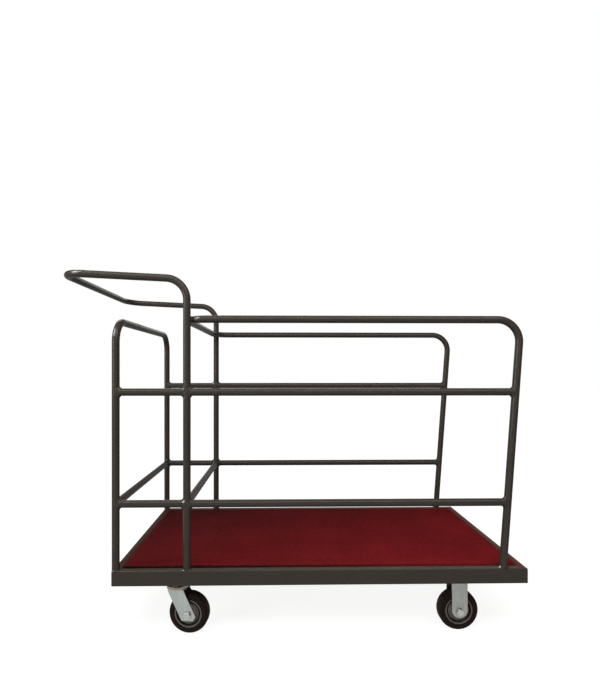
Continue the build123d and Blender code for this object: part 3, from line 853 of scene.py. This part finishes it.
def weld_bend(builder, side, settings):
    """Weld the top rail's bend to the handle post that it touches on one side."""
    bend = Vector((TOP_BAR_X + BEND_RADIUS, side * (POST_Y - BEND_RADIUS), TOP_Z))
    towards = (Vector((HANDLE_X, side * POST_Y, TOP_Z)) - bend).normalized()
    contact = bend + (BEND_RADIUS + TUBE_RADIUS) * towards
    line = contact_line(contact, towards, CONTACT_SHARE * TUBE_RADIUS)
    add_bead(builder, line, settings.bend_bead, settings.ripple)


def weld_glinting_bare_run(builder, whole, spot, tube, post, leg, ripple):
    """Lay a short weld on the stretch of a whole weld's line that is nearest to a spot."""
    line = nearby(whole, spot, GLINTING_BARE_REACH)
    add_fillet(builder, line, tube, [post], [leg] * len(line), ripple, closed=False)


def weld_glinting_bare_runs(builder, settings):
    """Two short welds without paint on the right side, by the front post's foot and by the handle post, whose
    pale metal is partly a painted highlight where the welds glint.
    """
    place = Vector((FOOT_X, -POST_Y, BASE_TOP))
    tube = (place, LEANING, TUBE_RADIUS)
    spot = place + GLINTING_BARE_FOOT_SPOT * TUBE_RADIUS
    leg = GLINTING_BARE_FOOT_GROWTH * settings.foot_leg
    weld_glinting_bare_run(builder, ring(place, UP, TUBE_RADIUS), spot, tube, (place, UP, 0), leg, settings.ripple)
    place = Vector((HANDLE_X, -POST_Y, LOW_Z))
    tube = (place, -FORWARD, TUBE_RADIUS)
    post = (place, UP, TUBE_RADIUS)
    spot = place + GLINTING_BARE_POST_SPOT * TUBE_RADIUS
    leg = GLINTING_BARE_POST_GROWTH * settings.leg
    weld_glinting_bare_run(builder, saddle(tube, [post]), spot, tube, post, leg, settings.ripple)


class TROLLEY_OT_paint_frame(bpy.types.Operator):
    """Powder coat the base, the bearers and the cage"""

    bl_idname = "trolley.paint_frame"
    bl_label = "Paint frame"

    def execute(self, context):
        finish_slot("frame_paint", powder_coat(context.scene.trolley_frame))
        return {"FINISHED"}


class TROLLEY_OT_weld_cage(bpy.types.Operator):
    """Lay welds where the cage's tubes meet each other and the base"""

    bl_idname = "trolley.weld_cage"
    bl_label = "Weld cage"

    def execute(self, context):
        settings = context.scene.trolley_frame
        paint = bpy.data.materials["powder_coated_steel"]
        # Pale bare weld metal, partly a painted highlight where the welds glint
        bare = plated_metal("glinting_bare_weld_steel", settings.glinting_bare_weld, rough=0.5, streak=1)
        rails = bmesh.new()
        bars = bmesh.new()
        feet = bmesh.new()
        bends = bmesh.new()
        tacks = bmesh.new()
        for side in SIDES.values():
            weld_rails(rails, side, settings)
            weld_crossbars(bars, side, settings)
            weld_feet(feet, side, settings)
            weld_bend(bends, side, settings)
        weld_glinting_bare_runs(tacks, settings)
        add_piece("rail_welds", rails, paint, "chassis")
        add_piece("crossbar_welds", bars, paint, "chassis")
        add_piece("post_foot_welds", feet, paint, "chassis")
        add_piece("top_rail_welds", bends, paint, "chassis")
        add_piece("glinting_bare_weld_runs", tacks, bare, "chassis")
        return {"FINISHED"}


class TROLLEY_OT_weld_base(bpy.types.Operator):
    """Lay welds where the bearers meet the base's side rails"""

    bl_idname = "trolley.weld_base"
    bl_label = "Weld base"

    def execute(self, context):
        settings = context.scene.trolley_frame
        paint = bpy.data.materials["powder_coated_steel"]
        welds = bmesh.new()
        for number in range(1, BEARERS + 1):
            low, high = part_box(f"deck_bearer_{number}")
            for x, x_out in ((low.x, -1), (high.x, 1)):
                for y, y_out in ((low.y, 1), (high.y, -1)):
                    start = Vector((x, y, low.z + settings.foot_leg))
                    end = Vector((x, y, high.z - settings.foot_leg))
                    line = straight_line(start, end)
                    bearer = (start, Vector((x_out, 0, 0)), 0)
                    rail = (start, Vector((0, y_out, 0)), 0)
                    legs = [settings.foot_leg] * len(line)
                    add_fillet(welds, line, bearer, [rail], legs, settings.ripple, closed=False)
        add_piece("bearer_welds", welds, paint, "chassis")
        return {"FINISHED"}


class TROLLEY_OT_lay_carpet(bpy.types.Operator):
    """Lay the carpet on the deck board"""

    bl_idname = "trolley.lay_carpet"
    bl_label = "Lay carpet"

    def execute(self, context):
        settings = context.scene.trolley_deck
        low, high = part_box("deck_carpet")
        across = round((high.y - low.y) / settings.cell)
        along = round((high.x - low.x) / settings.cell)
        builder = bmesh.new()
        border = builder.verts.layers.float.new("border")
        rows = []
        for i in range(along + 1):
            x = low.x + (high.x - low.x) * i / along
            row = []
            for j in range(across + 1):
                y = low.y + (high.y - low.y) * j / across
                inset = min(x - low.x, high.x - x, y - low.y, high.y - y)
                roll = settings.edge_drop * max(0.0, 1 - inset / settings.edge) ** 2
                spot = Vector((x, y, 0)) * per_size(NAP_SPAN)
                wave = settings.nap * (noise.fractal(spot, *NAP_WAVES) - 0.5)
                vert = builder.verts.new((x, y, high.z - roll + min(wave, 0.0)))
                vert[border] = min(y - low.y, high.y - y)
                row.append(vert)
            rows.append(row)
        for row, after in zip(rows, rows[1:]):
            for j in range(across):
                builder.faces.new((row[j], after[j], after[j + 1], row[j + 1]))
        # The skirt hangs from the rim, taken round the four sides in order
        half_rim = rows[0] + [row[-1] for row in rows[1:]]
        rim = half_rim + rows[-1][-2::-1] + [row[0] for row in rows[-2:0:-1]]
        skirt = []
        for vert in rim:
            hem = builder.verts.new((vert.co.x, vert.co.y, low.z))
            hem[border] = vert[border]
            skirt.append(hem)
        for k, vert in enumerate(rim):
            builder.faces.new((rim[k - 1], vert, skirt[k], skirt[k - 1]))
        carpet = add_piece("carpet", builder, needle_felt(settings), "chassis")
        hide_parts("deck_carpet")
        return {"FINISHED"}


class TROLLEY_OT_finish_board(bpy.types.Operator):
    """Give the deck board its plywood"""

    bl_idname = "trolley.finish_board"
    bl_label = "Finish board"

    def execute(self, context):
        finish_slot("plywood", birch_plywood(context.scene.trolley_deck))
        return {"FINISHED"}


class TROLLEY_OT_plate_casters(bpy.types.Operator):
    """Plate the forks, races, fasteners and bearings"""

    bl_idname = "trolley.plate_casters"
    bl_label = "Plate casters"

    def execute(self, context):
        settings = context.scene.trolley_caster
        drum_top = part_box("swivel_fork_right")[1].z
        drum_middle = drum_top - RACE_BAND
        drum_bottom = drum_top - RACE_DRUM
        race = (
            (settings.race_zinc, drum_middle, drum_top),
            (settings.yellow_zinc, drum_bottom, drum_middle),
        )
        plain = plated_metal("zinc_plated_steel", settings.zinc, rough=0.42, streak=3.5)
        finish_slot("fork_zinc", plain)
        cups = plated_metal("warm_zinc_plated_steel", settings.warm_zinc, rough=0.45, streak=2)
        finish_slot("race_zinc", cups)
        bolts = plated_metal("zinc_plated_fasteners", settings.bolt, rough=0.3, streak=1)
        finish_slot("bolt_zinc", bolts)
        bearings = plated_metal("ground_steel", settings.bearing, rough=0.25, streak=0.6)
        finish_slot("sleeve_steel", bearings)
        fork = plated_metal(
            "zinc_plated_fork_with_race", settings.fork_zinc, rough=0.42, streak=3.5, bands=race,
        )
        for side in SIDES:
            frame["nodes"][f"swivel_fork_{side}"].data.materials[0] = fork
        return {"FINISHED"}


class TROLLEY_OT_finish_wheels(bpy.types.Operator):
    """Give the wheels their rubber and their plastic cores"""

    bl_idname = "trolley.finish_wheels"
    bl_label = "Finish wheels"

    def execute(self, context):
        settings = context.scene.trolley_caster
        finish_slot("tyre_rubber", tyre_rubber(settings))
        finish_slot("hub_plastic", moulded_polypropylene(settings))
        return {"FINISHED"}


def aim_lamp(name, place, target, size, watts, tint, lights=True):
    """A soft rectangular lamp, turned to a target. One that lights nothing shows only in gloss."""
    lamp = bpy.data.lights.new(name, "AREA")
    lamp.shape = "RECTANGLE"
    lamp.color = tint[:3]
    lamp.size, lamp.size_y = size
    lamp.energy = watts
    holder = bpy.data.objects.new(name, lamp)
    holder.location = place
    holder.rotation_euler = (Vector(target) - Vector(place)).to_track_quat("-Z", "Y").to_euler()
    holder.visible_camera = False
    holder.visible_diffuse = lights
    bpy.context.scene.collection.objects.link(holder)


def seen_rays(tree, path):
    """A share that is 1 for rays that see the background: from the camera, off gloss or through glass."""
    first = add_node(
        tree, "ShaderNodeMath",
        {0: path.outputs["Is Camera Ray"], 1: path.outputs["Is Glossy Ray"]}, operation="MAXIMUM",
    )
    return add_node(
        tree, "ShaderNodeMath", {0: first, 1: path.outputs["Is Transmission Ray"]}, operation="MAXIMUM",
    )


def light_world(scene, settings):
    """An even light all round, and the white backdrop that the camera sees."""
    world = bpy.data.worlds.new("studio")
    world.use_nodes = True
    tree = world.node_tree
    tree.nodes.clear()
    light = add_node(tree, "ShaderNodeBackground", {"Color": WHITE, "Strength": settings.sky})
    # Gloss shows the white backdrop up to its top edge, and the darker room over it and on the right
    around = add_node(tree, "ShaderNodeTexCoord").outputs["Generated"]
    aim = add_node(tree, "ShaderNodeSeparateXYZ", {"Vector": around})
    above = add_node(
        tree, "ShaderNodeMapRange",
        {"Value": aim.outputs["Z"], "From Min": 0.24, "From Max": 0.33, "To Min": 1.0, "To Max": 0.15},
    )
    aside = add_node(
        tree, "ShaderNodeMapRange",
        {"Value": aim.outputs["X"], "From Min": 0.25, "From Max": 0.5, "To Min": 1.0, "To Max": 0.2},
    )
    room = add_node(tree, "ShaderNodeMath", {0: above, 1: aside}, operation="MULTIPLY")
    path = add_node(tree, "ShaderNodeLightPath")
    strength = add_node(tree, "ShaderNodeMix", {"Factor": path.outputs["Is Glossy Ray"], "A": 1.0, "B": room})
    white = add_node(tree, "ShaderNodeBackground", {"Color": WHITE, "Strength": strength})
    mixed = add_node(tree, "ShaderNodeMixShader", {0: seen_rays(tree, path), 1: light, 2: white})
    add_node(tree, "ShaderNodeOutputWorld", {"Surface": mixed})
    scene.world = world


# Studio floor: matt and pale, so it runs into the white backdrop and shows only the trolley's soft shadow
def studio_floor(settings):
    """Pale matt floor that glows where it is seen."""
    material, tree = new_material("studio_floor")
    lit = add_node(tree, "ShaderNodeBsdfDiffuse", {"Color": settings.floor})
    place = add_node(tree, "ShaderNodeTexCoord").outputs["Object"]
    reach = add_node(tree, "ShaderNodeVectorMath", {0: place}, operation="LENGTH")
    # The lamps' light on the floor falls off away from the trolley, and the glow makes up for it
    fade = add_node(
        tree, "ShaderNodeMapRange",
        {"Value": reach.outputs["Value"], "From Min": 0.7, "From Max": 3.0, "To Min": 0.9},
    )
    # Gloss shows the floor darker towards the dim room on the right and far behind
    spot = add_node(tree, "ShaderNodeSeparateXYZ", {"Vector": place})
    aside = add_node(
        tree, "ShaderNodeMapRange",
        {"Value": spot.outputs["X"], "From Min": 0.9, "From Max": 1.6, "To Min": 1.0, "To Max": 0.2},
    )
    behind = add_node(
        tree, "ShaderNodeMapRange",
        {"Value": spot.outputs["Y"], "From Min": 0.8, "From Max": 2.0, "To Min": 1.0, "To Max": 0.65},
    )
    shade = add_node(tree, "ShaderNodeMath", {0: aside, 1: behind}, operation="MULTIPLY")
    path = add_node(tree, "ShaderNodeLightPath")
    dim = add_node(tree, "ShaderNodeMix", {"Factor": path.outputs["Is Glossy Ray"], "A": 1.0, "B": shade})
    level = add_node(tree, "ShaderNodeMath", {0: fade, 1: dim}, operation="MULTIPLY")
    glow = add_node(tree, "ShaderNodeEmission", {"Color": WHITE, "Strength": level})
    pale = add_node(tree, "ShaderNodeAddShader", {0: lit, 1: glow})
    shader = add_node(tree, "ShaderNodeMixShader", {0: seen_rays(tree, path), 1: lit, 2: pale})
    close_material(tree, shader)
    return material


def lay_floor(scene, settings):
    """A wide floor just under the wheels."""
    builder = bmesh.new()
    bmesh.ops.create_grid(builder, x_segments=1, y_segments=1, size=FLOOR_REACH)
    mesh = bpy.data.meshes.new("floor")
    builder.to_mesh(mesh)
    builder.free()
    mesh.materials.append(studio_floor(settings))
    floor = bpy.data.objects.new("floor", mesh)
    floor.location.z = CAD_BOX[0].z - FLOOR_GAP
    scene.collection.objects.link(floor)


def set_camera(scene, settings):
    """A level camera with a shifted lens."""
    camera = bpy.data.cameras.new("camera")
    camera.sensor_width = SENSOR_WIDTH
    camera.lens = settings.lens
    camera.shift_x, camera.shift_y = settings.shift
    camera.clip_start = CLIP_START
    holder = bpy.data.objects.new("camera", camera)
    holder.location = settings.eye
    holder.rotation_euler = (math.radians(90), 0, -settings.yaw)
    scene.collection.objects.link(holder)
    scene.camera = holder


class TROLLEY_OT_build_stage(bpy.types.Operator):
    """Build the floor, the lamps, the even light and the camera"""

    bl_idname = "trolley.build_stage"
    bl_label = "Build stage"

    def execute(self, context):
        scene = context.scene
        settings = scene.trolley_stage
        scene.view_settings.view_transform = "Standard"
        light_world(scene, settings)
        lay_floor(scene, settings)
        aim_lamp(
            "window_lamp", place=(-2.9, -2.0, 1.15), target=(-0.2, -0.2, 0.75), size=(1.2, 1.3),
            watts=settings.window, tint=settings.daylight,
        )
        aim_lamp(
            "strip_lamp", place=(0.25, -1.25, 1.95), target=(0.25, -0.27, 0.6), size=(2.5, 1.1),
            watts=settings.strip, tint=settings.lamplight,
        )
        aim_lamp(
            "back_lamp", place=(-1.3, 1.8, 2.9), target=(-0.1, 0, 0.4), size=(1.2, 1.2),
            watts=settings.back, tint=settings.lamplight,
        )
        # Two windows show only in gloss, one along the hoop's and the handle's crossbars and one on the bends
        aim_lamp(
            "wall_glow", place=(-0.6, 0.95, 1.28), target=(-0.6, 0, 1.28), size=(1.0, 0.6),
            watts=settings.wall, tint=settings.daylight, lights=False,
        )
        aim_lamp(
            "skylight", place=(-1.35, -0.75, 1.68), target=(-0.5, -0.27, 0.9), size=(0.6, 0.8),
            watts=settings.skylight, tint=settings.daylight, lights=False,
        )
        set_camera(scene, settings)
        return {"FINISHED"}


OPERATORS = (
    TROLLEY_OT_paint_frame,
    TROLLEY_OT_weld_cage,
    TROLLEY_OT_weld_base,
    TROLLEY_OT_lay_carpet,
    TROLLEY_OT_finish_board,
    TROLLEY_OT_plate_casters,
    TROLLEY_OT_finish_wheels,
    TROLLEY_OT_build_stage,
)

SETTINGS = {
    "trolley_frame": TrolleyFrameSettings,
    "trolley_deck": TrolleyDeckSettings,
    "trolley_caster": TrolleyCasterSettings,
    "trolley_stage": TrolleyStageSettings,
}


class TROLLEY_PT_sidebar(bpy.types.Panel):
    """Lists the trolley's steps and settings"""

    bl_idname = "TROLLEY_PT_sidebar"
    bl_label = "Platform trolley"
    bl_space_type = "VIEW_3D"
    bl_region_type = "UI"
    bl_category = "Trolley"

    def draw(self, context):
        for operator in OPERATORS:
            self.layout.operator(operator.bl_idname)
        for name, group in SETTINGS.items():
            box = self.layout.box()
            for key in group.__annotations__:
                box.prop(getattr(context.scene, name), key)


def register():
    for group in SETTINGS.values():
        bpy.utils.register_class(group)
    for name, group in SETTINGS.items():
        setattr(bpy.types.Scene, name, PointerProperty(type=group))
    for operator in OPERATORS:
        bpy.utils.register_class(operator)
    bpy.utils.register_class(TROLLEY_PT_sidebar)


def unregister():
    bpy.utils.unregister_class(TROLLEY_PT_sidebar)
    for operator in reversed(OPERATORS):
        bpy.utils.unregister_class(operator)
    for name in SETTINGS:
        delattr(bpy.types.Scene, name)
    for group in reversed(SETTINGS.values()):
        bpy.utils.unregister_class(group)


def main():
    register()
    bpy.ops.trolley.paint_frame()
    bpy.ops.trolley.weld_cage()
    bpy.ops.trolley.weld_base()
    bpy.ops.trolley.lay_carpet()
    bpy.ops.trolley.finish_board()
    bpy.ops.trolley.plate_casters()
    bpy.ops.trolley.finish_wheels()
    bpy.ops.trolley.build_stage()


if __name__ == "__main__":
    main()
